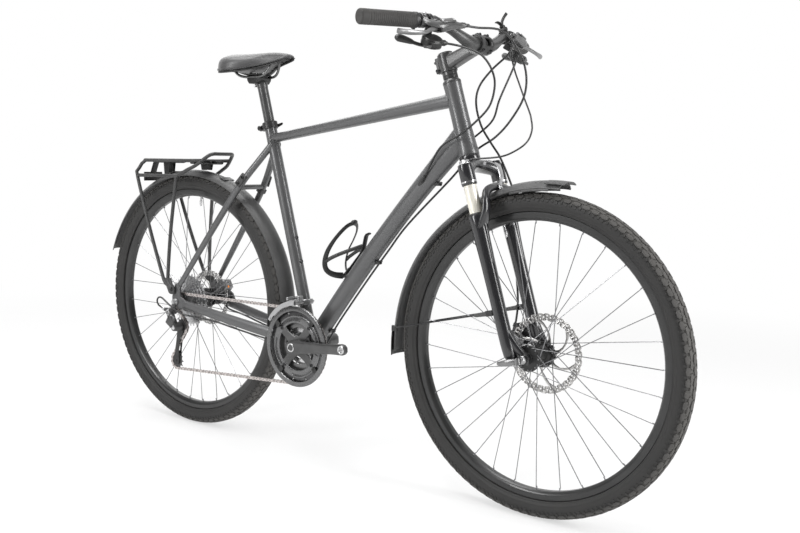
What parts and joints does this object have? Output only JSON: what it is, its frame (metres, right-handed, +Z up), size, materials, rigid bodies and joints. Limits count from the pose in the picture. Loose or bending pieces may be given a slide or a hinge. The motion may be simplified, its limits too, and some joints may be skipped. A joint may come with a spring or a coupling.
{
  "type": "trekking bicycle",
  "caption": "Trekking bicycle with a short-travel suspension fork, disc brakes, derailleur gears, mudguards, a rear carrier and a bottle cage; its cranks carry no pedals.",
  "frame": {"origin": "on the ground, midway between the two wheel axles, in the bicycle's middle plane", "axes": "+X points forward, +Y to the rider's left, +Z up; the chain side faces -Y"},
  "size_m": [1.8461, 0.6528, 1.1219],
  "materials": {
    "chain_steel": "oiled",
    "dark_grey": "satin",
    "frame_paint": "satin metallic",
    "gloss_black": "gloss",
    "grey_alloy": "satin",
    "grip_rubber": "matt",
    "plastic_black": "matt",
    "polished_alloy": "polished",
    "rubber": "matt",
    "saddle_cover": "smooth",
    "satin_black": "satin",
    "steel": "brushed"
  },
  "bodies": {
    "chassis": {"frame": "frame_paint", "seat_collar": "satin_black", "bottom_bracket": "satin_black", "headset_upper": "satin_black", "rear_mudguard": "satin_black", "rear_caliper": "satin_black", "rear_axle": "grey_alloy", "rear_rack": "satin_black", "bottle_cage": "plastic_black", "front_derailleur": "grey_alloy", "rear_derailleur": "satin_black", "chain": "chain_steel", "rear_brake_hose": "plastic_black", "rear_shift_cable": "plastic_black"},
    "steering": {"fork_uppers": "gloss_black", "stem": "satin_black", "stem_faceplate": "satin_black", "handlebar": "satin_black", "grip_left": "grip_rubber", "grip_right": "grip_rubber", "brake_housing_left": "satin_black", "brake_housing_right": "satin_black", "shifter_left": "satin_black", "shifter_right": "satin_black", "lockout_remote": "plastic_black", "shift_cable_left": "plastic_black", "shift_cable_right": "plastic_black", "front_brake_hose": "plastic_black", "lockout_cable": "plastic_black"},
    "fork_lowers": {"fork_lowers": "gloss_black", "lamp_bracket": "satin_black", "front_mudguard": "satin_black", "front_caliper": "satin_black", "front_axle": "grey_alloy"},
    "front_wheel": {"front_tyre": "rubber", "front_rim": "gloss_black", "front_hub": "grey_alloy", "front_rotor": "steel"},
    "front_axle_lever": {"front_axle_lever": "polished_alloy"},
    "rear_wheel": {"rear_tyre": "rubber", "rear_rim": "gloss_black", "rear_hub": "grey_alloy", "rear_rotor": "steel"},
    "cassette": {"cassette": "steel"},
    "rear_axle_lever": {"rear_axle_lever": "polished_alloy"},
    "crankset": {"crank_right": "dark_grey", "crank_left": "dark_grey", "chainrings": "steel", "chain_guard": "dark_grey"},
    "derailleur_cage": {"derailleur_cage": "satin_black"},
    "guide_pulley": {"guide_pulley": "plastic_black"},
    "tension_pulley": {"tension_pulley": "plastic_black"},
    "seatpost": {"seatpost": "satin_black", "saddle": "saddle_cover"},
    "seat_collar_lever": {"seat_collar_lever": "satin_black"},
    "brake_lever_left": {"brake_lever_left": "grey_alloy"},
    "brake_lever_right": {"brake_lever_right": "grey_alloy"},
    "thumb_lever_left": {"thumb_lever_left": "dark_grey"},
    "thumb_lever_right": {"thumb_lever_right": "dark_grey"},
    "lockout_lever": {"lockout_lever": "plastic_black"}
  },
  "joints": [
    {"name": "steering_turn", "type": "hinge", "parent": "chassis", "child": "steering", "pos_m": [0.37045, 0, 0.77747], "axis": [-0.3123, 0, 0.95], "range_deg": [-60, 60], "deforming": ["rear_brake_hose", "shift_cable_left", "shift_cable_right"]},
    {"name": "fork_travel", "type": "slide", "parent": "steering", "child": "fork_lowers", "axis": [-0.3123, 0, 0.95], "range_m": [0, 0.05], "stiffness_N_per_m": 9000, "springref_m": -0.012, "deforming": ["front_brake_hose"]},
    {"name": "front_wheel_spin", "type": "hinge", "parent": "fork_lowers", "child": "front_wheel", "pos_m": [0.561, 0, 0.358], "axis": [0, 1, 0], "continuous": true},
    {"name": "front_axle_lever_turn", "type": "hinge", "parent": "fork_lowers", "child": "front_axle_lever", "pos_m": [0.561, -0.0815, 0.358], "axis": [-0.2402, 0, 0.9707], "range_deg": [0, 170]},
    {"name": "rear_wheel_spin", "type": "hinge", "parent": "chassis", "child": "rear_wheel", "pos_m": [-0.561, 0, 0.358], "axis": [0, 1, 0], "continuous": true},
    {"name": "rear_axle_lever_turn", "type": "hinge", "parent": "chassis", "child": "rear_axle_lever", "pos_m": [-0.561, 0.099, 0.358], "axis": [0.4392, 0, -0.8984], "range_deg": [0, 170]},
    {"name": "crank_turn", "type": "hinge", "parent": "chassis", "child": "crankset", "pos_m": [-0.10198, 0, 0.293], "axis": [0, 1, 0], "continuous": true, "deforming": ["chain"]},
    {"name": "cassette_turn", "type": "hinge", "parent": "chassis", "child": "cassette", "pos_m": [-0.561, 0, 0.358], "axis": [0, 1, 0], "continuous": true},
    {"name": "cage_swing", "type": "hinge", "parent": "chassis", "child": "derailleur_cage", "pos_m": [-0.551, -0.0585, 0.288], "axis": [0, 1, 0], "range_deg": [-3, 3], "stiffness_Nm_per_rad": 2},
    {"name": "guide_pulley_turn", "type": "hinge", "parent": "derailleur_cage", "child": "guide_pulley", "pos_m": [-0.551, -0.0585, 0.288], "axis": [0, 1, 0], "continuous": true},
    {"name": "tension_pulley_turn", "type": "hinge", "parent": "derailleur_cage", "child": "tension_pulley", "pos_m": [-0.571, -0.0585, 0.186], "axis": [0, 1, 0], "continuous": true},
    {"name": "saddle_height", "type": "slide", "parent": "chassis", "child": "seatpost", "axis": [-0.284, 0, 0.9588], "range_m": [-0.07, 0.14]},
    {"name": "seat_collar_lever_turn", "type": "hinge", "parent": "chassis", "child": "seat_collar_lever", "pos_m": [-0.29277, 0.0183, 0.84661], "axis": [-0.284, 0, 0.9588], "range_deg": [0, 150]},
    {"name": "brake_lever_left_pull", "type": "hinge", "parent": "steering", "child": "brake_lever_left", "pos_m": [0.38673, 0.17415, 1.05273], "axis": [0.4456, 0.1914, 0.8745], "range_deg": [0, 20], "stiffness_Nm_per_rad": 0.6, "springref_deg": -11.46},
    {"name": "brake_lever_right_pull", "type": "hinge", "parent": "steering", "child": "brake_lever_right", "pos_m": [0.38673, -0.17415, 1.05273], "axis": [-0.4456, 0.1914, -0.8745], "range_deg": [0, 20], "stiffness_Nm_per_rad": 0.6, "springref_deg": -11.46},
    {"name": "thumb_lever_left_push", "type": "hinge", "parent": "steering", "child": "thumb_lever_left", "pos_m": [0.36918, 0.16987, 1.01596], "axis": [-0.4456, -0.1914, -0.8745], "range_deg": [0, 25], "stiffness_Nm_per_rad": 0.3, "springref_deg": -11.46},
    {"name": "thumb_lever_right_push", "type": "hinge", "parent": "steering", "child": "thumb_lever_right", "pos_m": [0.36918, -0.16987, 1.01596], "axis": [0.4456, -0.1914, 0.8745], "range_deg": [0, 25], "stiffness_Nm_per_rad": 0.3, "springref_deg": -11.46},
    {"name": "lockout_lever_turn", "type": "hinge", "parent": "steering", "child": "lockout_lever", "pos_m": [0.36391, 0.12435, 1.08809], "axis": [-0.3123, 0, 0.95], "range_deg": [0, 50]}
  ],
  "couplings": [
    {"joint": "cassette_turn", "follows": "crank_turn", "ratio": 4.3636},
    {"joint": "guide_pulley_turn", "follows": "crank_turn", "ratio": -4.3636},
    {"joint": "tension_pulley_turn", "follows": "crank_turn", "ratio": 4.3636}
  ]
}
